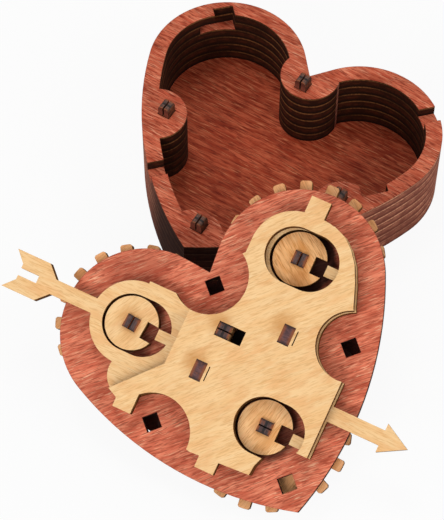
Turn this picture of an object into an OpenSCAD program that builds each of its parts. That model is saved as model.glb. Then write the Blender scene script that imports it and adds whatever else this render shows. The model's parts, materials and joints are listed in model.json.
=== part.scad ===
// Heart-shaped plywood keepsake box with a three-dial combination lock.
// The lid lies beside the box, mechanism side up, leaning on the box's rim.
// The origin is under the floor, on the middle line, halfway from cleft to tip.

/* [Plywood] */
// Thickness of one plywood layer
ply = 3.7; // [3.5:0.1:4]

/* [Heart outline] */
// Length from the cleft corner to the tip
heart_len = 72.6; // [70:0.1:76]
// Distance of a lobe's centre from the middle line
lobe_x = 23.8; // [23.2:0.1:24.6]
// Drop of the lobe centres below the cleft corner
lobe_drop = 9.6; // [9:0.1:10.4]
// Radius of the lobes
lobe_r = 24.4; // [23.8:0.1:24.8]
// Radius of the long arcs from the lobes to the tip
side_r = 101; // [90:1:115]

/* [Box] */
// Width of the wall rings
wall = 5; // [4.5:0.1:5.6]
// Radius of the round bosses that carry the pins
boss_r = 9.2; // [8.6:0.1:9.8]
// Offset of the cleft boss from its pin, towards the cleft
cleft_boss_shift = 4.5; // [3:0.1:5.5]
// Offset of a side boss from its pin, outwards
side_boss_shift = 3; // [2:0.1:4]
// Offset of the tip boss from its pin, towards the tip
tip_boss_shift = 4; // [3:0.1:5]

/* [Pins] */
// Side of the square pins
pin_side = 3.7; // [3.5:0.1:4]
// Room on each side of a pin in the wall rings
ring_pin_gap = 0.2; // [0.1:0.05:0.3]
// Room on each side of a pin in the lid
lid_pin_gap = 0.4; // [0.2:0.05:0.5]
// Distance of the cleft pin from the cleft corner
cleft_pin_drop = 4.1; // [3.8:0.1:4.6]
// Distance of the side pins from the middle line
side_pin_x = 30.2; // [29.4:0.1:30.8]
// Drop of the side pins below the cleft corner
side_pin_drop = 34.4; // [33.4:0.1:35.4]
// Distance of the tip pin from the tip
tip_pin_rise = 8.5; // [8:0.1:9.5]
// Width of the saw slit in a pin's top
pin_slit = 0.5; // [0.3:0.1:0.8]
// Radius of the worn edges of a pin's top
pin_round = 1.2; // [0.6:0.1:1.6]

/* [Dials] */
// Distance of the two upper dials from the middle line
dial_x = 25.6; // [25.2:0.1:26]
// Drop of the two upper dials below the cleft corner
dial_drop = 6.2; // [5.8:0.1:6.8]
// Drop of the tip dial below the cleft corner
tip_dial_drop = 47.3; // [46.8:0.1:48]
// Radius of a thumb wheel over its teeth
wheel_r = 23.7; // [23:0.1:23.9]
// Radius of a thumb wheel between its teeth
wheel_root_r = 20.4; // [19.6:0.1:21.2]
// Number of teeth on a thumb wheel
wheel_teeth = 18; // [14:1:18]
// Width of a tooth
tooth_w = 3.5; // [3:0.1:3.8]
// Size of a tooth's worn corners
tooth_corner = 0.5; // [0.2:0.1:0.8]
// Radius of a dial disc
disc_r = 7.8; // [7.4:0.1:8]
// Width of the notch in a dial disc
notch_w = 5.1; // [4.9:0.1:5.6]
// Distance of the notch's floor from the dial's centre
notch_floor = 4; // [3.7:0.1:4.1]
// Side of the square dial shafts
shaft_side = 4; // [3.6:0.1:4.2]
// Running clearance of a shaft's corners in its round bore
shaft_gap = 0.07; // [0.03:0.01:0.1]
// Width of the saw slit in a shaft's end
shaft_slit = 0.4; // [0.3:0.1:0.6]
// Height that the shafts stand above their discs
shaft_proud = 0.8; // [0:0.1:1.2]
// Room above and below a turning or sliding layer
play = 0.1; // [0.05:0.01:0.15]

/* [Arrow] */
// Angle of the arrow below the lid's width
arrow_angle = 45; // [44:0.5:46]
// Width of the arrow's shaft
arrow_w = 4.6; // [4.2:0.1:5]
// Distance of the arrow's tip from the cleft corner, along the arrow
arrow_head_reach = 72.2; // [70:0.1:75]
// Length of the arrow's head
arrow_head_len = 7.8; // [6:0.1:10]
// Width across the barbs of the head
arrow_head_w = 8.7; // [7:0.1:11]
// Distance of the tail's end from the cleft corner, along the arrow
arrow_tail_reach = 53; // [51:0.1:56]
// Width across the tail feathers
feather_w = 11.6; // [10:0.1:13]
// Length of the tail feathers
feather_len = 14; // [12:0.1:16]

/* [Bolt] */
// Travel of the bolt with the lid off the box
bolt_travel = 3.8; // [3:0.1:3.8]
// Travel that frees the tabs from the rim ring
release_travel = 1.75; // [1.5:0.05:2]
// Radius of the openings round the dial discs
opening_r = 8.25; // [8.2:0.05:8.4]
// Width of the bolt round an opening
opening_rim = 4.3; // [3.8:0.1:4.8]
// Width of the tabs that enter the disc notches
tab_w = 3.3; // [3:0.1:3.5]
// Gap between a tab's end and a disc
tab_gap = 0.2; // [0.15:0.05:0.3]
// Distance that the upper plate lies back from the arrow plate
bolt_setback = 0.5; // [0.3:0.1:0.8]
// Length of a key peg along the arrow
peg_len = 3.45; // [3:0.05:4]
// Width of a key peg across the arrow
peg_w = 5.7; // [5:0.1:6.4]
// Side of the square guide stub
stub_side = 4; // [3.6:0.1:4.2]
// Room on each side of the guide stub in its slot
stub_gap = 0.15; // [0.1:0.05:0.25]

/* [Front of the lid] */
// Step from the lid's outline in to the front cover's
cover_inset = 3.5; // [3.4:0.1:4]
// Shift of the front cover away from the tip, which keeps it clear of the table
cover_shift = 2.5; // [2.5:0.1:3]
// Step from the front cover's outline in to the front face's
face_step = 7.5; // [7.3:0.1:8]
// Shift of the front face away from the tip, which keeps it clear of the table
face_shift = 3.5; // [3.3:0.1:4]
// Radius of the two side spacers between the wheels
side_spacer_r = 3.4; // [2.8:0.1:3.8]
// Distance of the side spacers from the middle line
side_spacer_x = 26; // [25.8:0.1:26.6]
// Drop of the side spacers below the cleft corner
side_spacer_drop = 36; // [35.6:0.1:36.6]
// Drop of the middle spacer below the cleft corner
middle_spacer_drop = 18.8; // [18.4:0.1:19.4]
// Gap between the middle spacer and the wheels
spacer_gap = 0.3; // [0.2:0.05:0.6]

/* [How the lid lies] */
// Compass turn of the direction in which the lid slopes down
lid_heading = 75.37; // [74:0.01:77]
// Turn of the lid in its own plane
lid_spin = 125.45; // [125:0.01:126.4]
// Direction, from the right lobe's centre, in which the front face meets the rim
face_contact = 124.43; // [123.6:0.01:125]
// Direction, on the box's right side arc, in which the rim meets the face
rim_contact = 48.28; // [47:0.01:49]
// Gap between the front face and the rim where they meet
rest_gap = 0.1; // [0.05:0.05:0.3]
// Turn of the left dial's notch from the arrow
left_notch_turn = -5; // [-5:1:5]
// Turn of the right dial's notch from the arrow
right_notch_turn = 0; // [-5:1:5]
// Turn of the tip dial's notch from the arrow
tip_notch_turn = 0; // [-5:1:5]

/* [Hidden] */
$fn = 96;
STAINED = "#a54b3c";
STAINED_DARK = "#8c3f33";
BIRCH = "#efc98f";
CHARRED = "#4a2c1c";

// ---- levels of the box, above the table
plain_rings = 4;
bolt_ring_z = (1 + plain_rings) * ply;
rim_ring_z = bolt_ring_z + ply;
rim_z = rim_ring_z + ply;
pin_top = rim_z + ply;

// ---- levels of the lid, measured from the face that meets the rim
wheel_bottom = -2 * ply + play;
wheel_top = -ply - play;
cover_bottom = -3 * ply;
face_bottom = -4 * ply;
arrow_z = play;
bolt_z = arrow_z + ply;

// ---- the heart: two lobe arcs, two side arcs and a straight-sided cleft
lobe = [lobe_x, -lobe_drop];
tip = [0, -heart_len];
lobe_dist = norm(lobe);
flank_angle = asin(lobe_r / lobe_dist) - atan(lobe_drop / lobe_x);
arc_step = side_r - lobe_r;
to_tip = tip - lobe;
join_cos = (side_r * side_r - arc_step * arc_step - to_tip * to_tip) / (2 * arc_step);
join_angle = atan2(to_tip.y, to_tip.x) + acos(join_cos / norm(to_tip));
side_c = lobe - arc_step * ray(join_angle);
lobe_steps = 40;
side_steps = 20;

// ---- places in the lid's plane; the box's are their mirror image
cleft_pin = [0, -cleft_pin_drop];
side_pin = [side_pin_x, -side_pin_drop];
tip_pin = [0, tip_pin_rise - heart_len];
side_boss_angle = -42;
cleft_boss = cleft_pin + [0, cleft_boss_shift];
side_boss = side_pin + side_boss_shift * ray(side_boss_angle);
tip_boss = tip_pin - [0, tip_boss_shift];
left_dial = [-dial_x, -dial_drop];
right_dial = [dial_x, -dial_drop];
tip_dial = [0, -tip_dial_drop];

// ---- the same places along (first) and across (second) the arrow
left_at = along_arrow(left_dial);
right_at = along_arrow(right_dial);
tip_at = along_arrow(tip_dial);
cleft_boss_at = along_arrow(cleft_boss);
left_boss_at = along_arrow([-side_boss.x, side_boss.y]);
right_boss_at = along_arrow(side_boss);
arrow_line = left_at.y;
arrow_slot_w = arrow_w + 0.6;
left_peg_at = [9.95, arrow_line - 4.35];
right_peg_at = [28.5, -7.55];
stub_at = [11.85, -13.7];
stub_slot_back = stub_side / 2 + stub_gap;
stub_slot_len = stub_side + 2 * stub_gap + bolt_travel;

// ---- openings round the discs and the tabs that reach into them
opening_back = 0.4;
opening_len = bolt_travel + 0.2;
tab_reach = disc_r + tab_gap;
right_opening_back = 1.2;
relief_slit = [0.3, 4.4];
relief_slit_out = 2.65;
scallop_room = 1.9;

// ---- the three tabs that hook under the rim ring, as
// [start along the arrow, length, end across it, room at the end, room behind, room ahead]
tab_side_gap = 0.15;
hook_tabs = [[18.6, 6, 31.3, 0.8, 0, 3.2],
             [-8.1, 5.6, -46, 0.3, 2.1, 0.3],
             [20.3, 5.8, -51.7, 0.3, 0, 0.3]];

// ---- how the lid leans: its tip wheel on the table, its face on the rim
face_r = lobe_r - cover_inset - face_step;
face_point = lobe + [0, face_shift] + face_r * ray(face_contact);
rim_point = side_c + side_r * ray(-rim_contact);
lean_arm = (face_point.y - tip_dial.y) * sin(lid_spin) + wheel_r - face_point.x * cos(lid_spin);
lean_depth = wheel_bottom - face_bottom;
lid_lean = asin((rim_z + rest_gap) / norm([lean_arm, lean_depth])) + atan(lean_depth / lean_arm);
lid_origin = [rim_point.x, rim_point.y + heart_len / 2, rim_z + rest_gap]
             - lid_turned([face_point.x, face_point.y, face_bottom]);

function ray(angle) = [cos(angle), sin(angle)];
function along_arrow(p) = [p.x * cos(arrow_angle) - p.y * sin(arrow_angle),
                           p.x * sin(arrow_angle) + p.y * cos(arrow_angle)];
function arc(centre, r, from, to, steps, first = 0) =
    [for (i = [first:steps]) centre + r * ray(from + (to - from) * i / steps)];
function turn_z(p, a) = [p.x * cos(a) - p.y * sin(a), p.x * sin(a) + p.y * cos(a), p.z];
function turn_y(p, a) = [p.x * cos(a) + p.z * sin(a), p.y, p.z * cos(a) - p.x * sin(a)];
function lid_turned(p) = turn_z(turn_y(turn_z(p, lid_spin), lid_lean), -lid_heading);

// ---------------------------------------------------------------- placing
module in_box(z) {
    translate([0, heart_len / 2, z]) children();
}

module on_lid(z) {
    translate(lid_origin) rotate([0, 0, -lid_heading]) rotate([0, lid_lean, 0])
        rotate([0, 0, lid_spin]) translate([0, 0, z]) children();
}

module with_arrow() {
    rotate(-arrow_angle) children();
}

module both_sides() {
    children();
    mirror([1, 0, 0]) children();
}

// ---------------------------------------------------------------- forms, one layer thick
// A flat form as a cutter that passes right through its layer.
module through() {
    translate([0, 0, -1]) linear_extrude(ply + 2) children();
}

// A bar with round ends, from the origin along the first axis.
module stadium(r, len, h) {
    cylinder(h, r = r);
    translate([len, 0, 0]) cylinder(h, r = r);
    translate([0, -r, 0]) cube([len, 2 * r, h]);
}

module block(from, to, h) {
    translate([from.x, from.y, 0]) cube([to.x - from.x, to.y - from.y, h]);
}

module peg(side, h) {
    translate([-side / 2, -side / 2, 0]) cube([side, side, h]);
}

// The heart, drawn in from its outline by inset. Its right half runs from the cleft round
// the lobe's arc and down the side arc to the tip.
module heart(h, inset = 0) {
    cleft_in = [0, -inset / cos(flank_angle)];
    tip_in_angle = -acos(-side_c.x / (side_r - inset));
    half = [each arc(lobe, lobe_r - inset, flank_angle + 90, join_angle, lobe_steps),
            each arc(side_c, side_r - inset, join_angle, tip_in_angle, side_steps, 1)];
    last = len(half) - 2;
    linear_extrude(h)
        polygon([cleft_in, each half, for (i = [last:-1:0]) [-half[i].x, half[i].y]]);
}

module at_pins() {
    translate(cleft_pin) children();
    both_sides() translate(side_pin) children();
    translate(tip_pin) children();
}

module pin_holes(side) {
    translate([0, 0, -1]) at_pins() peg(side, ply + 2);
}

module ring_outline() {
    difference() {
        heart(ply);
        difference() {
            translate([0, 0, -1]) heart(ply + 2, wall);
            through() translate(cleft_boss) circle(boss_r);
            both_sides() through() translate(side_boss) circle(boss_r);
            through() translate(tip_boss) circle(boss_r);
        }
        pin_holes(pin_side + 2 * ring_pin_gap);
    }
}

// The hollow that a hook tab drops into (entry) or slides along (recess).
module hook_notch(tab, room_ahead) {
    start = tab[0] - release_travel - tab_side_gap - tab[4];
    end = tab[0] + tab[1] + room_ahead;
    reach = tab[2] + sign(tab[2]) * tab[3];
    inner = tab[2] - sign(tab[2]) * (wall + ply);
    through() translate([start, min(reach, inner)]) square([end - start, abs(reach - inner)]);
}

module arrow_slots() {
    reach = heart_len;
    through() translate([-reach, arrow_line - arrow_slot_w / 2]) square([2 * reach, arrow_slot_w]);
}

// ---------------------------------------------------------------- the box
module floor_plate() {
    color(STAINED_DARK) in_box(0) difference() {
        heart(ply);
        pin_holes(pin_side);
    }
}

module plain_ring(level) {
    color(STAINED) in_box(level * ply) ring_outline();
}

module bolt_ring() {
    color(STAINED) in_box(bolt_ring_z) difference() {
        ring_outline();
        mirror([1, 0, 0]) with_arrow() for (tab = hook_tabs) hook_notch(tab, tab[5]);
    }
}

module rim_ring() {
    color(STAINED) in_box(rim_ring_z) difference() {
        ring_outline();
        mirror([1, 0, 0]) with_arrow() {
            arrow_slots();
            for (tab = hook_tabs) hook_notch(tab, tab_side_gap - release_travel);
        }
    }
}

// A square pin with a slit, split top whose edges are worn round.
module pin(place) {
    half = pin_side / 2;
    inner = half - pin_round;
    color(CHARRED) in_box(0) translate(place) difference() {
        union() {
            peg(pin_side, pin_top - pin_round);
            translate([-inner, -half, 0]) cube([2 * inner, pin_side, pin_top]);
            both_sides() translate([inner, half, pin_top - pin_round]) rotate([90, 0, 0])
                cylinder(pin_side, r = pin_round);
        }
        translate([-pin_slit / 2, -pin_side, rim_z]) cube([pin_slit, 2 * pin_side, 2 * ply]);
    }
}

// ---------------------------------------------------------------- the lid
module shaft_bores() {
    for (place = [left_dial, right_dial, tip_dial])
        translate([place.x, place.y, -1]) cylinder(ply + 2, r = shaft_side / sqrt(2) + shaft_gap);
}

module lid_plate() {
    color(STAINED) on_lid(-ply) difference() {
        heart(ply);
        pin_holes(pin_side + 2 * lid_pin_gap);
        shaft_bores();
        with_arrow() translate([stub_at.x, stub_at.y, -1]) peg(stub_side, ply + 2);
    }
}

module guide_stub() {
    color(CHARRED) on_lid(-ply) with_arrow() translate(stub_at) difference() {
        peg(stub_side, ply + bolt_z + ply);
        translate([-stub_side, -shaft_slit / 2, 2 * ply]) cube([2 * stub_side, shaft_slit, 3 * ply]);
    }
}

// Discs that keep the front cover a layer away from the lid plate.
module gear_spacers() {
    middle_place = [0, -middle_spacer_drop];
    to_wheels = min(norm(middle_place - right_dial), norm(middle_place - tip_dial));
    color(STAINED) on_lid(-2 * ply) {
        translate(middle_place) cylinder(ply, r = to_wheels - wheel_r - spacer_gap);
        both_sides() translate([side_spacer_x, -side_spacer_drop]) cylinder(ply, r = side_spacer_r);
    }
}

module front_cover() {
    color(STAINED) on_lid(cover_bottom) difference() {
        translate([0, cover_shift, 0]) heart(ply, cover_inset);
        shaft_bores();
    }
}

module front_face() {
    color(STAINED_DARK) on_lid(face_bottom) translate([0, face_shift, 0])
        heart(ply, cover_inset + face_step);
}

// ---------------------------------------------------------------- the bolt
// The opening round a dial disc, which may start further back.
module dial_opening(dial_at, further_back = 0) {
    back = opening_back + further_back;
    translate([dial_at.x - back, dial_at.y, -1])
        stadium(opening_r, opening_len + further_back, ply + 2);
}

module disc_tab(dial_at) {
    end = opening_r + opening_len + 1;
    translate([dial_at.x, dial_at.y, 0]) block([tab_reach, -tab_w / 2], [end, tab_w / 2], ply);
}

module peg_holes() {
    for (place = [left_peg_at, right_peg_at])
        through() translate(place) square([peg_len, peg_w], center = true);
}

module stub_slot() {
    through() translate(stub_at + [-stub_slot_back, -stub_side / 2 - stub_gap])
        square([stub_slot_len, stub_side + 2 * stub_gap]);
}

// Room for the three bosses that the bolt passes.
module cleft_scallop() {
    through() translate(cleft_boss_at + [1.9, -1.4]) circle(boss_r + scallop_room);
}

module left_scallop() {
    through() translate(left_boss_at + [2.3, 0.6]) circle(boss_r + scallop_room);
}

module boss_scallops() {
    cleft_scallop();
    left_scallop();
    through() translate(right_boss_at - [2.2, 0.2]) circle(boss_r + scallop_room / 2);
}

// The form that both layers of the bolt share, without openings.
module bolt_core() {
    tail_edge = 0.4;
    head_edge = tip_at.x + 14.6;
    pad_r = opening_r + opening_rim;
    pad_len = 3.6;
    pad_tail = right_at.x - pad_r - pad_len / 2;
    difference() {
        union() {
            linear_extrude(ply)
                polygon([[tail_edge, 0], [tail_edge, tip_at.y + 4.4],
                         left_boss_at + [-14.1, 6.8], left_boss_at + [-11, 5.3],
                         tip_at + [-16, -15.1], tip_at + [2.7, -13.9],
                         [head_edge, tip_at.y - 13.9], [head_edge, right_boss_at.y],
                         right_at + [19.9, -6.5], right_at + [17.5, -0.2],
                         right_at + [15.2, 4.6], right_at + [12.5, 8.1], right_at + [9.5, 10.6],
                         right_at + [5.5, 12.2], right_at, [pad_tail, right_at.y], [pad_tail, 9]]);
            translate([right_at.x - pad_len / 2, right_at.y, 0]) stadium(pad_r, pad_len, ply);
        }
        boss_scallops();
    }
}

// The corner that is left out below the tip dial.
module open_corner() {
    through() translate(tip_at) polygon([[3.2, -8], [2.1, -11], [1.8, -14], [1.8, -19], [17, -19],
                                         [17, -2.9], [10.6, -2.9], [10.6, -1.4], [4.5, -1.4]]);
}

module arrow_shape() {
    neck = arrow_w / 2;
    feather = feather_w / 2;
    swallow = [3.2, 2.4];
    nock = [9, 1.1];
    head_base = arrow_head_reach - arrow_head_len;
    barb = arrow_head_w / 2;
    tail = -arrow_tail_reach;
    feather_end = tail + feather_len;
    overlap = 1;
    translate([0, arrow_line, 0]) {
        linear_extrude(ply) polygon([[head_base, -barb], [arrow_head_reach, 0], [head_base, barb]]);
        block([feather_end - overlap, -neck], [head_base + overlap, neck], ply);
        linear_extrude(ply)
            polygon([[tail, feather], [feather_end - feather + neck, feather],
                     [feather_end, neck], [feather_end, -neck],
                     [feather_end - feather + neck, -feather], [tail, -feather],
                     [tail + swallow.x, -swallow.y], [tail + swallow.x, -nock.y],
                     [tail + nock.x, -nock.y], [tail + nock.x, nock.y],
                     [tail + swallow.x, nock.y], [tail + swallow.x, swallow.y]]);
    }
}

// The arrow plate's part beyond the upper plate: the ring's shoulder and its round tongue.
module tail_plate() {
    tongue_r = 7;
    tongue_at = left_at + [6.3, -13.6];
    step_at = left_at + [-0.2, 13];
    translate(left_at) cylinder(ply, r = opening_r + opening_rim - 0.3);
    translate(tongue_at) cylinder(ply, r = tongue_r);
    difference() {
        linear_extrude(ply)
            polygon([left_at, step_at, [left_at.x + 7.5, step_at.y], [2, step_at.y],
                     [2, left_boss_at.y + 8], tongue_at - [0, tongue_r / 2],
                     tongue_at - [tongue_r - 0.1, 0]]);
        translate([bolt_setback, 0, 0]) boss_scallops();
    }
}

module arrow_plate() {
    color(BIRCH) on_lid(arrow_z) with_arrow() {
        difference() {
            union() {
                translate([bolt_setback, 0, 0]) bolt_core();
                tail_plate();
                arrow_shape();
            }
            for (dial_at = [left_at, right_at, tip_at]) dial_opening(dial_at);
            for (shift = [0, bolt_setback]) translate([shift, 0, 0]) open_corner();
            cleft_scallop();
            left_scallop();
            peg_holes();
            stub_slot();
        }
        for (dial_at = [left_at, right_at, tip_at]) disc_tab(dial_at);
    }
}

module bolt_plate() {
    root_depth = 8;
    color(BIRCH) on_lid(bolt_z) with_arrow() {
        difference() {
            bolt_core();
            dial_opening(right_at, right_opening_back);
            dial_opening(tip_at);
            open_corner();
            peg_holes();
            stub_slot();
            for (place = [left_peg_at, right_peg_at]) through()
                translate(place + [relief_slit_out, 0.1]) square(relief_slit, center = true);
        }
        for (tab = hook_tabs) {
            root = tab[2] - sign(tab[2]) * root_depth;
            block([tab[0], min(tab[2], root)], [tab[0] + tab[1], max(tab[2], root)], ply);
        }
    }
}

module key_peg(place) {
    color(CHARRED) on_lid(arrow_z) with_arrow() linear_extrude(2 * ply)
        translate(place) square([peg_len, peg_w], center = true);
}

// ---------------------------------------------------------------- the dials
module thumb_wheel(place, phase, notch_turn) {
    corner = tooth_corner;
    color(BIRCH) on_lid(wheel_bottom) translate(place)
        linear_extrude(wheel_top - wheel_bottom) difference() {
            intersection() {
                circle(wheel_r);
                union() {
                    circle(wheel_root_r);
                    for (i = [0:wheel_teeth - 1]) rotate(phase + i * 360 / wheel_teeth)
                        polygon([[0, -tooth_w / 2], [wheel_r - corner, -tooth_w / 2],
                                 [wheel_r, corner - tooth_w / 2], [wheel_r, tooth_w / 2 - corner],
                                 [wheel_r - corner, tooth_w / 2], [0, tooth_w / 2]]);
                }
            }
            rotate(notch_turn - arrow_angle) square(shaft_side, center = true);
        }
}

// A square shaft from the front cover up to the face of its disc.
module dial_shaft(place, notch_turn, slit_turn) {
    bottom = cover_bottom + play;
    top = arrow_z + ply + shaft_proud;
    slit_depth = 3;
    color(CHARRED) on_lid(bottom) translate(place) rotate(notch_turn - arrow_angle) difference() {
        peg(shaft_side, top - bottom);
        rotate(slit_turn) translate([-shaft_side, -shaft_slit / 2, top - bottom - slit_depth])
            cube([2 * shaft_side, shaft_slit, 2 * slit_depth]);
    }
}

module dial_disc(place, notch_turn) {
    color(BIRCH) on_lid(arrow_z) translate(place) rotate(notch_turn - arrow_angle) difference() {
        cylinder(ply, r = disc_r);
        through() translate([notch_floor, -notch_w / 2]) square([disc_r, notch_w]);
        translate([0, 0, -1]) peg(shaft_side, ply + 2);
    }
}

left_wheel_phase = 17.5;
right_wheel_phase = 6.8;
tip_wheel_phase = 12.3;

floor_plate();
plain_ring(1);  // wall_ring_1
plain_ring(2);  // wall_ring_2
plain_ring(3);  // wall_ring_3
plain_ring(4);  // wall_ring_4
bolt_ring();
rim_ring();
pin(cleft_pin);  // pin_cleft
pin([-side_pin.x, side_pin.y]);  // pin_left
pin(side_pin);  // pin_right
pin(tip_pin);  // pin_tip
lid_plate();
guide_stub();
gear_spacers();
front_cover();
front_face();
arrow_plate();
bolt_plate();
key_peg(left_peg_at);  // key_peg_left
key_peg(right_peg_at);  // key_peg_right
thumb_wheel(left_dial, left_wheel_phase, left_notch_turn);  // thumb_wheel_left
dial_shaft(left_dial, left_notch_turn, 90);  // dial_shaft_left
dial_disc(left_dial, left_notch_turn);  // dial_disc_left
thumb_wheel(right_dial, right_wheel_phase, right_notch_turn);  // thumb_wheel_right
dial_shaft(right_dial, right_notch_turn, 90);  // dial_shaft_right
dial_disc(right_dial, right_notch_turn);  // dial_disc_right
thumb_wheel(tip_dial, tip_wheel_phase, tip_notch_turn);  // thumb_wheel_tip
dial_shaft(tip_dial, tip_notch_turn, 0);  // dial_shaft_tip
dial_disc(tip_dial, tip_notch_turn);  // dial_disc_tip
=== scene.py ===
import json
import math
from collections import namedtuple

import bpy
from mathutils import Matrix, Vector


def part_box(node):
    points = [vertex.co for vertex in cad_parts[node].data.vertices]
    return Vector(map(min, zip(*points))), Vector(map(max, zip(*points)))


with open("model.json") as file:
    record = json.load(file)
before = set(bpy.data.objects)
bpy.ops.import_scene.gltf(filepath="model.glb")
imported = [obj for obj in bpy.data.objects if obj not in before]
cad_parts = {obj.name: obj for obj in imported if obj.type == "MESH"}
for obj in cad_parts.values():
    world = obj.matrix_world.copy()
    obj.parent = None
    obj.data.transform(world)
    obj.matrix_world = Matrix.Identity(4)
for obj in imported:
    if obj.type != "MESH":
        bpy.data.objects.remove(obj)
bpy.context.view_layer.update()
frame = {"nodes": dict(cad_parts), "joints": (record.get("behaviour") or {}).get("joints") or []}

MM = 0.001

# ---------------------------------------------------------------- directions, from the frame
JOINTS = {joint["name"]: joint for joint in frame["joints"]}
UP = Vector((0, 0, 1))
RIGHT = Vector((1, 0, 0))
FRONT = Vector((0, -1, 0))
LID_UP = Vector(JOINTS["dial_left_turn"]["axis"]).normalized()
ARROW = -Vector(JOINTS["bolt_slide"]["axis"]).normalized()
ARROW_ACROSS = LID_UP.cross(ARROW)
LID_RIGHT = (ARROW + ARROW_ACROSS).normalized()
LID_AWAY = LID_UP.cross(LID_RIGHT)
DIALS = {side: Vector(JOINTS[f"dial_{side}_turn"]["pos_m"]) for side in ("left", "right", "tip")}


def middle_of(node):
    """The middle of a node's box."""
    return sum((Vector(corner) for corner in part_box(node)), Vector()) / 2


# ---------------------------------------------------------------- camera
CAMERA_AT = Vector((185.93, -316.64, 566.09)) * MM
CAMERA_TO = Vector((-0.27464, 0.4455, -0.85212))
LENS = 150.851              # millimetres
SENSOR = 36                 # millimetres, along the picture's long side


def add_camera():
    """The photo's view: place, direction and lens from a fit to the outlines of box and lid."""
    data = bpy.data.cameras.new("camera")
    data.lens = LENS
    data.sensor_width = SENSOR
    data.sensor_fit = "AUTO"
    data.clip_end = 20      # metres
    camera = bpy.data.objects.new("camera", data)
    side = CAMERA_TO.cross(UP).normalized()
    top = side.cross(CAMERA_TO).normalized()
    turn = Matrix((side, top, -CAMERA_TO)).transposed().to_4x4()
    camera.matrix_world = Matrix.Translation(CAMERA_AT) @ turn
    bpy.context.scene.collection.objects.link(camera)
    bpy.context.scene.camera = camera


# ---------------------------------------------------------------- shader building
def rgb(code):
    """A colour written as an sRGB hex code, as the shader's linear values."""
    parts = [int(code[i:i + 2], 16) / 255 for i in (0, 2, 4)]
    linear = [p / 12.92 if p <= 0.04045 else ((p + 0.055) / 1.055) ** 2.4 for p in parts]
    return (*linear, 1.0)


class Shader:
    """A material's node tree, built one step at a time. Each step returns its output socket."""

    def __init__(self, name):
        self.material = bpy.data.materials.new(name)
        self.material.use_nodes = True
        self.tree = self.material.node_tree
        self.tree.nodes.clear()

    def add(self, kind, **settings):
        made = self.tree.nodes.new(kind)
        for key, value in settings.items():
            setattr(made, key, value)
        return made

    def put(self, socket, value):
        if isinstance(value, bpy.types.NodeSocket):
            self.tree.links.new(value, socket)
        else:
            socket.default_value = value

    def math(self, operation, first, second=0.0, third=0.0):
        made = self.add("ShaderNodeMath", operation=operation)
        for socket, value in zip(made.inputs, (first, second, third)):
            self.put(socket, value)
        return made.outputs[0]

    def product(self, first, *others):
        for other in others:
            first = self.math("MULTIPLY", first, other)
        return first

    def dot(self, first, second):
        made = self.add("ShaderNodeVectorMath", operation="DOT_PRODUCT")
        self.put(made.inputs[0], first)
        self.put(made.inputs[1], second)
        return made.outputs["Value"]

    def vector(self, operation, first, second):
        made = self.add("ShaderNodeVectorMath", operation=operation)
        self.put(made.inputs[0], first)
        if operation == "SCALE":
            self.put(made.inputs["Scale"], second)
        else:
            self.put(made.inputs[1], second)
        return made.outputs["Value" if operation == "DISTANCE" else "Vector"]

    def combine(self, x, y, z):
        made = self.add("ShaderNodeCombineXYZ")
        for socket, value in zip(made.inputs, (x, y, z)):
            self.put(socket, value)
        return made.outputs[0]

    def noise(self, vector, detail=2.0, roughness=0.5):
        made = self.add("ShaderNodeTexNoise", noise_dimensions="3D")
        self.put(made.inputs["Vector"], vector)
        made.inputs["Scale"].default_value = 1.0
        made.inputs["Detail"].default_value = detail
        made.inputs["Roughness"].default_value = roughness
        made.inputs["Distortion"].default_value = 0.0
        return made.outputs["Fac"]

    def clouds(self, point, per_mm, detail=3.0):
        """Noise in round cells, per_mm of them in a millimetre."""
        return self.noise(self.vector("SCALE", point, per_mm), detail)

    def streaks(self, along, length, across, width, third, detail=3.0, roughness=0.5):
        """Noise in cells of length by width millimetres. third is the place in its third axis."""
        cell = self.combine(self.math("DIVIDE", along, length),
                            self.math("DIVIDE", across, width), third)
        return self.noise(cell, detail, roughness)

    def step(self, value, low, high, to_low=0.0, to_high=1.0):
        """Rises smoothly from to_low, at low, to to_high, at high."""
        made = self.add("ShaderNodeMapRange", interpolation_type="SMOOTHSTEP")
        for socket, given in zip(made.inputs, (value, low, high, to_low, to_high)):
            self.put(socket, given)
        return made.outputs[0]

    def mix(self, factor, first, second, blend="MIX"):
        made = self.add("ShaderNodeMix", data_type="RGBA", blend_type=blend)
        self.put(made.inputs[0], factor)
        self.put(made.inputs[6], first)
        self.put(made.inputs[7], second)
        return made.outputs[2]

    def finish(self, colour, roughness, specular, height, bump_depth):
        """Ends the tree in a plain wood surface with a bump of bump_depth millimetres."""
        surface = self.add("ShaderNodeBsdfPrincipled")
        self.put(surface.inputs["Base Color"], colour)
        self.put(surface.inputs["Roughness"], roughness)
        surface.inputs["Specular IOR Level"].default_value = specular
        bump = self.add("ShaderNodeBump")
        bump.inputs["Strength"].default_value = 1.0
        bump.inputs["Distance"].default_value = bump_depth * MM
        self.put(bump.inputs["Height"], height)
        self.tree.links.new(bump.outputs[0], surface.inputs["Normal"])
        output = self.add("ShaderNodeOutputMaterial")
        self.tree.links.new(surface.outputs[0], output.inputs[0])
        return self.material


# ---------------------------------------------------------------- woods
# A mark of the grain: its length and width in millimetres, and how strongly it shows
Mark = namedtuple("Mark", "length width strength", defaults=[1.0])
# A dark mark on a face, used for smoke marks and for painted shade: full within inner millimetres
# of its place, gone at reach
SmudgeAndShade = namedtuple("SmudgeAndShade", "place inner reach strength tone")

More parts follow.
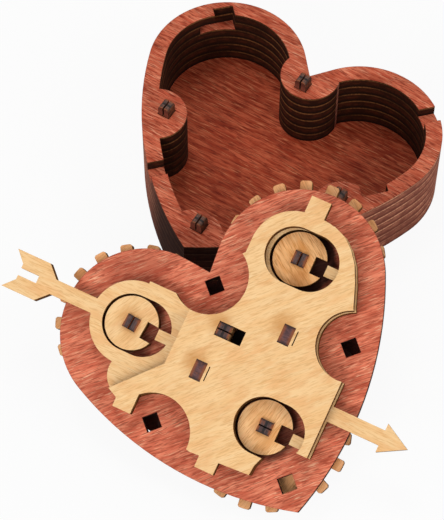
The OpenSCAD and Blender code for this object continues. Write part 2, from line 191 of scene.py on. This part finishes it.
# Each wood's tones, its marks, and figure, the share by which its shade goes up and down
LID_STAIN = dict(dark="9a402c", mid="d66a4e", light="f28e6c", pale="ffc69e", blush="bc5238",
                 band=Mark(12.0, 0.8), fleck=Mark(3.0, 0.32, 0.75), dash=Mark(4.0, 0.34, 0.8),
                 figure=0.10)
BOX_STAIN = dict(dark="7c2614", mid="be543a", light="da7656", pale="f8ae8a", blush="a4442a",
                 band=Mark(14.0, 0.9), fleck=Mark(3.0, 0.32, 0.8), dash=Mark(5.0, 0.36, 0.8),
                 figure=0.10)
FLOOR_STAIN = dict(dark="64180a", mid="a63e24", light="cc6040", pale="ec9266", blush="8e2c18",
                   band=Mark(16.0, 1.0), fleck=Mark(3.4, 0.32, 0.66), dash=Mark(5.0, 0.34, 0.75),
                   figure=0.08)
BIRCH = dict(dark="d9a161", mid="f9c98d", light="fdd39b", pale="ffe0ae", blush="f2b67a",
             band=Mark(18.0, 1.6), fleck=Mark(3.0, 0.26, 0.5), dash=Mark(3.4, 0.5, 0.4),
             figure=0.02)
WARM_BIRCH = dict(dark="c98440", mid="ffc68c", light="ffcb90", pale="ffdaa6", blush="e39c58",
                  band=Mark(14.0, 1.4), fleck=Mark(3.4, 0.26, 0.6), dash=Mark(3.4, 0.5, 0.4),
                  figure=0.04)
GOLDEN_BIRCH = dict(dark="b06a2c", mid="f5b474", light="fbc286", pale="ffd49c", blush="cc8440",
                    band=Mark(14.0, 1.4), fleck=Mark(3.4, 0.26, 0.6), dash=Mark(3.4, 0.5, 0.4),
                    figure=0.06)
# More orange than the plates' birch: partly the wood, partly painted reflection of warm light from
# the burnt surfaces round the wheels
WHEEL_BIRCH_AND_REFLECTION = dict(dark="c07844", mid="fbb478", light="ffbe86", pale="ffd0a0", blush="dd8a50",
                   band=Mark(14.0, 1.4), fleck=Mark(3.4, 0.30, 0.5), dash=Mark(3.4, 0.5, 0.3),
                   figure=0.04)
# Painted shade: near-black tones for faces inside the closed lid, which lie in shade and are seen
# only through its holes
PAINTED_CAVITY_SHADE = dict(dark="180603", mid="32100a", light="3a140c", pale="441a10", blush="280c06",
            band=Mark(14.0, 1.4), fleck=Mark(4.0, 0.34, 0.5), dash=Mark(3.0, 0.34, 0.3),
            figure=0.05)

# Cut sides: burnt tone, browner middle of a layer, and the thin line at its top
BURNT_RED = dict(dark="241008", mid="4e2212", line="8c5a34")
BURNT_LID = dict(dark="120502", mid="240b06", line="6e442c")
OUTER_RED = dict(dark="784236", mid="b7755c", line="f1af89")
BURNT_BIRCH = dict(dark="4c2a0e", mid="8a5a24", line="c08c4c")
TIP_SHADE = "1c0c07"        # the box's outer wall beside its tip, in the lid's shade

# Pegs: the raw sides and the charred ends, each from its darkest tone to its lightest
PIN_RAW, PIN_END = ("5c2c20", "7c4232"), ("3c2820", "745246")
STUB_RAW, SHAFT_RAW = ("d79a5c", "f2bd80"), ("a85a2c", "d08a50")
SHAFT_END, KEY_END = ("33221f", "604a48"), ("3c2628", "6e4a4a")
PEG_BURNT = ("2b160e", "6a3a22")
# Marks on a peg: blotches, brown borders by the raw sides, black ones by the others, slit and edges
PEG_MARKS = dict(blotch="8a4a28", border="8c4a24", char="1e0d08", slit="100604", edge="24130c")

# ---------------------------------------------------------------- plywood
PLY = 3.7                   # millimetres, one plywood layer
# Painted shade: the inner walls' lines are dimmer towards the bottom of the box
BOX_WALL = 6 * PLY          # millimetres, over which the lines of the inner walls grow brighter
BOX_TIP = Vector((*middle_of("pin_tip").xy, 0)) / MM
LID_BASE = (DIALS["left"] + DIALS["right"]).dot(LID_UP) / 2 / MM    # a seam between its layers
OUTER_WALL = 12.0           # millimetres from the middle: walls that face out lie further off
TIP_SHADED = (34.0, 12.0)   # millimetres from the tip: no shade, full shade
FIGURE = Mark(16.0, 4.0)    # the soft figure of every face
PATCH = Mark(9.0, 3.5, 0.6)     # blushes of every face
GRAIN_BEND = 1.8            # millimetres by which the figure bends the other marks
GRAIN_ROUGHNESS = 0.55
SIDE_STREAK = Mark(2.6, 0.30)   # along a cut side and up it
SIDE_CLOUDS = ((0.35, 3.0), (1.3, 2.0), (0.05, 1.0))    # blotches, specks and a veil over the lines
SIDE_ROUGHNESS = 1.0        # a burnt cut side, sooty and dull
ON_FACE = (0.5, 0.8)        # cosine to the sheet's normal, from where a side ends to a full face
EDGE_COSINE = (0.995, 0.86)     # cosine from the flat normal to the rounded: no edge, full edge
EDGE_WEAR = 0.6             # share of dark on an edge
SEED_SHIFT = Vector((13.7, 7.9, 3.1))   # millimetres between the grains of neighbouring seeds


def grain_values(shader, along, up, seed):
    """The object point in millimetres, and its places along the grain, across it and up."""
    point = shader.add("ShaderNodeTexCoord").outputs["Object"]
    point = shader.vector("SCALE", point, 1 / MM)
    across = up.cross(along)
    seeded = shader.vector("ADD", point, seed * SEED_SHIFT)
    return point, [shader.dot(seeded, axis) for axis in (along, across, up)]


def edge_wear(shader, radius):
    """How far a point lies on a sharp edge, rounded by radius millimetres."""
    bevel = shader.add("ShaderNodeBevel", samples=4)
    bevel.inputs["Radius"].default_value = radius * MM
    flat = shader.add("ShaderNodeNewGeometry").outputs["True Normal"]
    return shader.product(shader.step(shader.dot(bevel.outputs[0], flat), *EDGE_COSINE), EDGE_WEAR)


def face_colour(shader, along_mm, across_mm, tones, seed):
    """Colour of a sheet's face, and its flecks: a soft figure, bands, blushes, dark flecks and pale
    dashes. Each is noise, which lies round 0.5, cut by a step to the share that shows."""
    figure = shader.streaks(along_mm, FIGURE.length, across_mm, FIGURE.width, seed)
    bent = shader.math("MULTIPLY_ADD", figure, GRAIN_BEND, across_mm)

    def marks(mark, offset, detail):
        return shader.streaks(along_mm, mark.length, bent, mark.width, seed + offset, detail,
                              GRAIN_ROUGHNESS)

    bands = shader.step(marks(tones["band"], 8.1, 3.0), 0.36, 0.62)
    patches = shader.step(marks(PATCH, 21.3, 2.0), 0.45, 0.7, 0.0, PATCH.strength)
    flecks = marks(tones["fleck"], 3.3, 2.0)
    dark = shader.step(flecks, 0.48, 0.66, 0.0, tones["fleck"].strength)
    dashes = shader.step(marks(tones["dash"], 15.7, 3.0), 0.54, 0.74, 0.0, tones["dash"].strength)
    shade = shader.step(figure, 0.3, 0.7, 1.0 - tones["figure"], 1.0 + tones["figure"])
    colour = rgb(tones["mid"])
    for share, tone in ((bands, "light"), (patches, "blush"), (dark, "dark"), (dashes, "pale")):
        colour = shader.mix(share, colour, rgb(tones[tone]))
    colour = shader.mix(1.0, colour, shader.combine(shade, shade, shade), "MULTIPLY")
    return colour, flecks


def side_colour(shader, point, up, flat, tones, base, line_fade=None):
    """Colour of a cut side: burnt, streaked along the layers, browner in the middle of each and
    with a thin pale line at its top. flat is the point along two directions of the sheet, and
    line_fade the height in millimetres over which painted shade dims the lines lower down."""
    level = shader.math("SUBTRACT", shader.dot(point, up), base)
    layer = shader.math("FRACT", shader.math("DIVIDE", level, PLY))     # from its bottom to its top
    veneers = shader.streaks(flat[0], SIDE_STREAK.length, flat[1], SIDE_STREAK.length,
                             shader.math("DIVIDE", level, SIDE_STREAK.width), 2.0)
    blotch, specks, veil = (shader.clouds(point, *cell) for cell in SIDE_CLOUDS)
    middle = shader.product(shader.step(layer, 0.10, 0.5), shader.step(layer, 0.95, 0.65),
                            shader.step(blotch, 0.38, 0.62, 0.35, 1.0),
                            shader.step(veneers, 0.38, 0.58, 0.35, 1.0))
    line = shader.product(shader.step(layer, 0.76, 0.90), shader.step(layer, 1.0, 0.96),
                          shader.step(specks, 0.35, 0.6, 0.5, 1.0),
                          shader.step(veil, 0.42, 0.58, 0.35, 1.0))
    # Painted shade: the lines dim towards the bottom of the wall
    if line_fade:
        line = shader.product(line, shader.step(level, 0.0, line_fade, 0.4, 1.0))
    colour = shader.mix(middle, rgb(tones["dark"]), rgb(tones["mid"]))
    return shader.mix(line, colour, rgb(tones["line"]))


def dark_mark_by(centre, right, away, inner, reach, strength, tone):
    """A dark mark on the lid, given in millimetres to the right of centre and away from the viewer.
    """
    place = centre + (right * LID_RIGHT + away * LID_AWAY) * MM
    return SmudgeAndShade(place, inner, reach, strength, tone)


def smudged_and_shaded(shader, face, point, here, along, across, seed, smudges_and_shade):
    """The face with its marks of smoke and of painted shade, each a ragged disc measured in the
    sheet's plane. here is the point along the grain and across it."""
    for place, inner, reach, strength, tone in smudges_and_shade:
        middle = place / MM + seed * SEED_SHIFT
        far = shader.vector("DISTANCE", here, (middle.dot(along), middle.dot(across), 0.0))
        ragged = shader.math("SUBTRACT", shader.clouds(point, 0.5), 0.5)
        far = shader.math("MULTIPLY_ADD", ragged, 0.6 * (reach - inner), far)
        face = shader.mix(shader.step(far, reach, inner, 0.0, strength), face, rgb(tone))
    return face


def box_side(shader, point, normal, up, flat, sides, outer, base):
    """Cut sides of the box: sides on the walls that face in, and outer on those that face out."""
    inside = side_colour(shader, point, up, flat, sides, base, BOX_WALL)
    outside = side_colour(shader, point, up, flat, outer, base)
    flat_point = shader.vector("MULTIPLY", point, (1, 1, 0))
    from_tip = shader.vector("DISTANCE", flat_point, BOX_TIP)
    shade = shader.step(from_tip, *TIP_SHADED, 0.0, 0.9)
    outside = shader.mix(shade, outside, rgb(TIP_SHADE))
    is_outer = shader.math("GREATER_THAN", shader.dot(normal, flat_point), OUTER_WALL)
    return shader.mix(is_outer, inside, outside)


def plywood(name, along, up, tones, sides, seed, base=0.0, outer=None, back=None, smudges_and_shade=(),
            edge=0.3):
    """Laser-cut plywood: grained faces, burnt sides, dark edges, smoke marks, dark patches and
    painted shade.
    base is the height of a seam between layers along up, outer the tones of walls that face out,
    back the painted-shade tones of the face that looks along up into the closed lid, and edge the
    width of the dark edges in millimetres."""
    shader = Shader(name)
    point, (along_mm, across_mm, _) = grain_values(shader, along, up, seed)
    face, flecks = face_colour(shader, along_mm, across_mm, tones, seed)
    here = shader.combine(along_mm, across_mm, 0.0)
    face = smudged_and_shaded(shader, face, point, here, along, up.cross(along), seed, smudges_and_shade)
    normal = shader.add("ShaderNodeTexCoord").outputs["Normal"]
    # Painted shade: the face that looks along up into the closed lid takes the dark back tones
    if back:
        inner, _ = face_colour(shader, along_mm, across_mm, back, seed)
        face = shader.mix(shader.math("GREATER_THAN", shader.dot(normal, up), 0.5), face, inner)
    flat = (along_mm, across_mm)
    if outer:
        side = box_side(shader, point, normal, up, flat, sides, outer, base)
    else:
        side = side_colour(shader, point, up, flat, sides, base)
    face = shader.mix(edge_wear(shader, edge), face, rgb(sides["dark"]))
    facing = shader.math("ABSOLUTE", shader.dot(normal, up))
    colour = shader.mix(shader.step(facing, *ON_FACE), side, face)
    roughness = shader.math("MAXIMUM", shader.step(flecks, 0.3, 0.7, 0.66, 0.54),
                            shader.step(facing, *ON_FACE, SIDE_ROUGHNESS, 0.0))
    return shader.finish(colour, roughness, specular=0.1, height=flecks, bump_depth=0.02)


def charred(name, along, split, up, seed, raw_tones, end_tones=SHAFT_END, sawn=True):
    """A short square peg: charred end, two sides of raw veneer and two burnt sides.
    split is the direction that the raw sides face. A sawn peg is black in its slit."""
    shader = Shader(name)
    point, (along_mm, across_mm, height_mm) = grain_values(shader, along, up, seed)
    corners = [vertex.co for vertex in frame["nodes"][name].data.vertices]

    def from_middle(axis):
        """0 in the middle of the peg, 1 at its sides."""
        reach = [corner.dot(axis) / MM for corner in corners]
        middle, half = (max(reach) + min(reach)) / 2, (max(reach) - min(reach)) / 2
        off = shader.math("ABSOLUTE", shader.math("SUBTRACT", shader.dot(point, axis), middle))
        return shader.math("DIVIDE", off, half)

    def facing(axis):
        return shader.step(shader.math("ABSOLUTE", shader.dot(normal, axis)), *ON_FACE)

    normal = shader.add("ShaderNodeTexCoord").outputs["Normal"]
    streak = shader.streaks(along_mm, 0.5, across_mm, 2.0, seed, 3.0, 0.7)
    blotch = shader.clouds(point, 0.9)
    off_split, off_other = from_middle(split), from_middle(up.cross(split))
    border = 0.6 if sawn else 0.3
    end = shader.mix(shader.step(streak, 0.3, 0.7), *map(rgb, end_tones))
    end = shader.mix(shader.step(blotch, 0.52, 0.75, 0.0, 0.5), end, rgb(PEG_MARKS["blotch"]))
    end = shader.mix(shader.step(off_split, border, 0.9, 0.0, 0.9), end, rgb(PEG_MARKS["border"]))
    end = shader.mix(shader.step(off_other, 0.6, 0.98, 0.0, 0.9), end, rgb(PEG_MARKS["char"]))
    if sawn:
        end = shader.mix(shader.step(off_split, 0.14, 0.26, 0.95, 0.0), end, rgb(PEG_MARKS["slit"]))
    raw = shader.streaks(across_mm, 0.6, height_mm, 4.0, seed + 5)
    veneer = shader.mix(shader.step(raw, 0.35, 0.65), *map(rgb, raw_tones))
    burnt = shader.mix(shader.step(blotch, 0.35, 0.65), *map(rgb, PEG_BURNT))
    colour = shader.mix(facing(up), shader.mix(facing(split), burnt, veneer), end)
    colour = shader.mix(edge_wear(shader, 0.25), colour, rgb(PEG_MARKS["edge"]))
    return shader.finish(colour, 0.6, specular=0.3, height=streak, bump_depth=0.04)


def dress(node, material):
    """Gives a CAD node its one material."""
    mesh = frame["nodes"][node].data
    mesh.materials.clear()
    mesh.materials.append(material)


# ---------------------------------------------------------------- the box
def dress_box():
    dress("floor_plate", plywood("floor", RIGHT, UP, FLOOR_STAIN, BURNT_RED, 1.0,
                                 outer=OUTER_RED))
    rings = [f"wall_ring_{count}" for count in (1, 2, 3, 4)] + ["bolt_ring", "rim_ring"]
    for seed, ring in enumerate(rings, 2):
        dress(ring, plywood(ring, RIGHT, UP, BOX_STAIN, BURNT_RED, seed, outer=OUTER_RED))
    for seed, pin in enumerate(["pin_cleft", "pin_left", "pin_right", "pin_tip"], 11):
        dress(pin, charred(pin, RIGHT, FRONT, UP, seed, PIN_RAW, PIN_END))


# ---------------------------------------------------------------- the lid
def dress_lid():
    # A broad dark-red patch up and to the right of the left dial, then painted shade: the lid's
    # face darkened round the three discs, in the openings where shade falls, and black in the slot
    # beside the guide stub
    beside_stub = middle_of("guide_stub") + 5.4 * MM * ARROW
    patch_and_painted_shade = [dark_mark_by(DIALS["left"], 6, 12, 3.0, 14.0, 0.45, "8a3222"),
            SmudgeAndShade(DIALS["left"], 8.0, 10.5, 0.55, "220a06"),
            SmudgeAndShade(DIALS["tip"], 8.0, 10.5, 0.75, "220a06"),
            SmudgeAndShade(DIALS["right"], 9.0, 11.5, 0.95, "1c0805"),
            SmudgeAndShade(beside_stub, 3.4, 4.6, 1.0, "0c0302")]
    # The inner faces of the front cover and front face, and all of the gear spacers, take painted
    # shade inside the closed lid
    sheets = (("lid_plate", LID_STAIN, dict(smudges_and_shade=patch_and_painted_shade)),
              ("front_cover", LID_STAIN, dict(back=PAINTED_CAVITY_SHADE)),
              ("front_face", LID_STAIN, dict(back=PAINTED_CAVITY_SHADE)),
              ("gear_spacers", PAINTED_CAVITY_SHADE, {}))
    for seed, (sheet, tones, extras) in enumerate(sheets, 21):
        dress(sheet, plywood(sheet, LID_RIGHT, LID_UP, tones, BURNT_LID, seed, LID_BASE, **extras))
    dress("guide_stub", charred("guide_stub", ARROW, ARROW, LID_UP, 25.0, STUB_RAW))


# ---------------------------------------------------------------- the bolt
def dress_bolt():
    pegs = [middle_of(node) for node in ("guide_stub", "key_peg_left", "key_peg_right")]
    smoke = [dark_mark_by(peg, 0, 2.6, 0.5, 5.6, 0.65, "c8843e") for peg in pegs]
    dress("bolt_plate", plywood("bolt_plate", LID_RIGHT, LID_UP, BIRCH, BURNT_BIRCH, 31.0,
                                LID_BASE, smudges_and_shade=smoke, edge=0.09))
    dress("arrow_plate", plywood("arrow_plate", ARROW, LID_UP, BIRCH, BURNT_BIRCH, 32.0,
                                 LID_BASE, edge=0.07))
    for seed, peg in enumerate(["key_peg_left", "key_peg_right"], 33):
        dress(peg, charred(peg, ARROW_ACROSS, ARROW, LID_UP, seed, SHAFT_RAW, KEY_END,
                           sawn=False))


# ---------------------------------------------------------------- the dials
# Degrees from the arrow to the disc's grain, and the disc's wood
DISC_LOOKS = {"left": (62, BIRCH), "right": (-36, GOLDEN_BIRCH), "tip": (75, WARM_BIRCH)}


def dress_dials():
    for seed, (side, centre) in enumerate(DIALS.items(), 41):
        grain_turn, tones = DISC_LOOKS[side]
        grain = Matrix.Rotation(math.radians(grain_turn), 3, LID_UP) @ ARROW
        smoke = [dark_mark_by(centre, 0, 1.6, 0.8, 4.8, 0.5, "d0883e"),
                 dark_mark_by(centre, -0.8, -1.6, 0.8, 4.2, 0.35, "d0883e")]
        if side == "right":
            smoke.append(dark_mark_by(centre, -2.0, -5.0, 0.5, 4.0, 0.5, "b0682c"))
        disc = plywood(f"disc_{side}", grain, LID_UP, tones, BURNT_BIRCH, seed, LID_BASE,
                       smudges_and_shade=smoke, edge=0.15)
        wheel = plywood(f"wheel_{side}", grain, LID_UP, WHEEL_BIRCH_AND_REFLECTION, BURNT_BIRCH, seed + 5,
                        LID_BASE, edge=0.25)
        shaft = charred(f"dial_shaft_{side}", ARROW, ARROW, LID_UP, seed + 10, SHAFT_RAW)
        dress(f"dial_disc_{side}", disc)
        dress(f"thumb_wheel_{side}", wheel)
        dress(f"dial_shaft_{side}", shaft)


# ---------------------------------------------------------------- floor and light
FLOOR_HALF = 3.0            # metres
FLOOR_WHITE = 0.93          # share of plain white in what the camera sees, over the paper
ROOM_LIGHT = 0.40
LIT_POINT = Vector((0.02, -0.02, 0.02))
# Each lamp's place and size in metres, and its power in watts
LAMPS = {"key": ((-0.35, 0.25, 1.25), 0.4, 2.8),
         "front": ((0.05, -1.2, 0.75), 0.8, 7.4),
         "right": ((1.0, 0.2, 0.8), 0.6, 3.2)}


def seen_by_camera(tree):
    """1 for what the camera sees straight, in gloss or through glass, 0 for light on the object."""
    path = tree.nodes.new("ShaderNodeLightPath")
    total = path.outputs["Is Camera Ray"]
    for kind in ("Is Glossy Ray", "Is Transmission Ray"):
        plus = tree.nodes.new("ShaderNodeMath")
        plus.operation = "ADD"
        plus.use_clamp = True
        tree.links.new(total, plus.inputs[0])
        tree.links.new(path.outputs[kind], plus.inputs[1])
        total = plus.outputs[0]
    return total


def blend_into(tree, output_kind, share, first, second):
    """Ends a tree in a mix of two shaders."""
    blend = tree.nodes.new("ShaderNodeMixShader")
    output = tree.nodes.new(output_kind)
    for socket, source in zip(blend.inputs, (share, first.outputs[0], second.outputs[0])):
        tree.links.new(source, socket)
    tree.links.new(blend.outputs[0], output.inputs[0])


def add_floor():
    """A white sheet. The camera sees it as plain white with the object's shadow drawn thin."""
    half = FLOOR_HALF
    corners = [(-half, -half, 0), (half, -half, 0), (half, half, 0), (-half, half, 0)]
    mesh = bpy.data.meshes.new("floor")
    mesh.from_pydata(corners, [], [(0, 1, 2, 3)])
    floor = bpy.data.objects.new("floor", mesh)
    material = bpy.data.materials.new("floor_paper")
    material.use_nodes = True
    tree = material.node_tree
    tree.nodes.clear()
    paper = tree.nodes.new("ShaderNodeBsdfDiffuse")
    paper.inputs["Color"].default_value = rgb("f4f4f4")
    glow = tree.nodes.new("ShaderNodeEmission")
    glow.inputs["Color"].default_value = rgb("fefefe")
    share = tree.nodes.new("ShaderNodeMath")
    share.operation = "MULTIPLY"
    share.inputs[1].default_value = FLOOR_WHITE
    tree.links.new(seen_by_camera(tree), share.inputs[0])
    blend_into(tree, "ShaderNodeOutputMaterial", share.outputs[0], paper, glow)
    mesh.materials.append(material)
    bpy.context.scene.collection.objects.link(floor)


def add_area_light(name, place, size, power):
    data = bpy.data.lights.new(name, "AREA")
    data.shape = "DISK"
    data.size = size
    data.energy = power
    light = bpy.data.objects.new(name, data)
    light.location = place
    light.rotation_euler = (LIT_POINT - Vector(place)).to_track_quat("-Z", "Y").to_euler()
    bpy.context.scene.collection.objects.link(light)


def add_light():
    """Soft light all round, a key from the left, and fills from the front and the right."""
    world = bpy.data.worlds.new("studio")
    world.use_nodes = True
    tree = world.node_tree
    tree.nodes.clear()
    room = tree.nodes.new("ShaderNodeBackground")
    room.inputs["Color"].default_value = (1, 1, 1, 1)
    room.inputs["Strength"].default_value = ROOM_LIGHT
    backdrop = tree.nodes.new("ShaderNodeBackground")
    backdrop.inputs["Color"].default_value = rgb("fefefe")
    backdrop.inputs["Strength"].default_value = 1.0
    blend_into(tree, "ShaderNodeOutputWorld", seen_by_camera(tree), room, backdrop)
    bpy.context.scene.world = world
    for name, (place, size, power) in LAMPS.items():
        add_area_light(name, place, size, power)


# ---------------------------------------------------------------- the scene
add_camera()
dress_box()
dress_lid()
dress_bolt()
dress_dials()
add_floor()
add_light()

scene = bpy.context.scene
scene.view_settings.view_transform = "Standard"
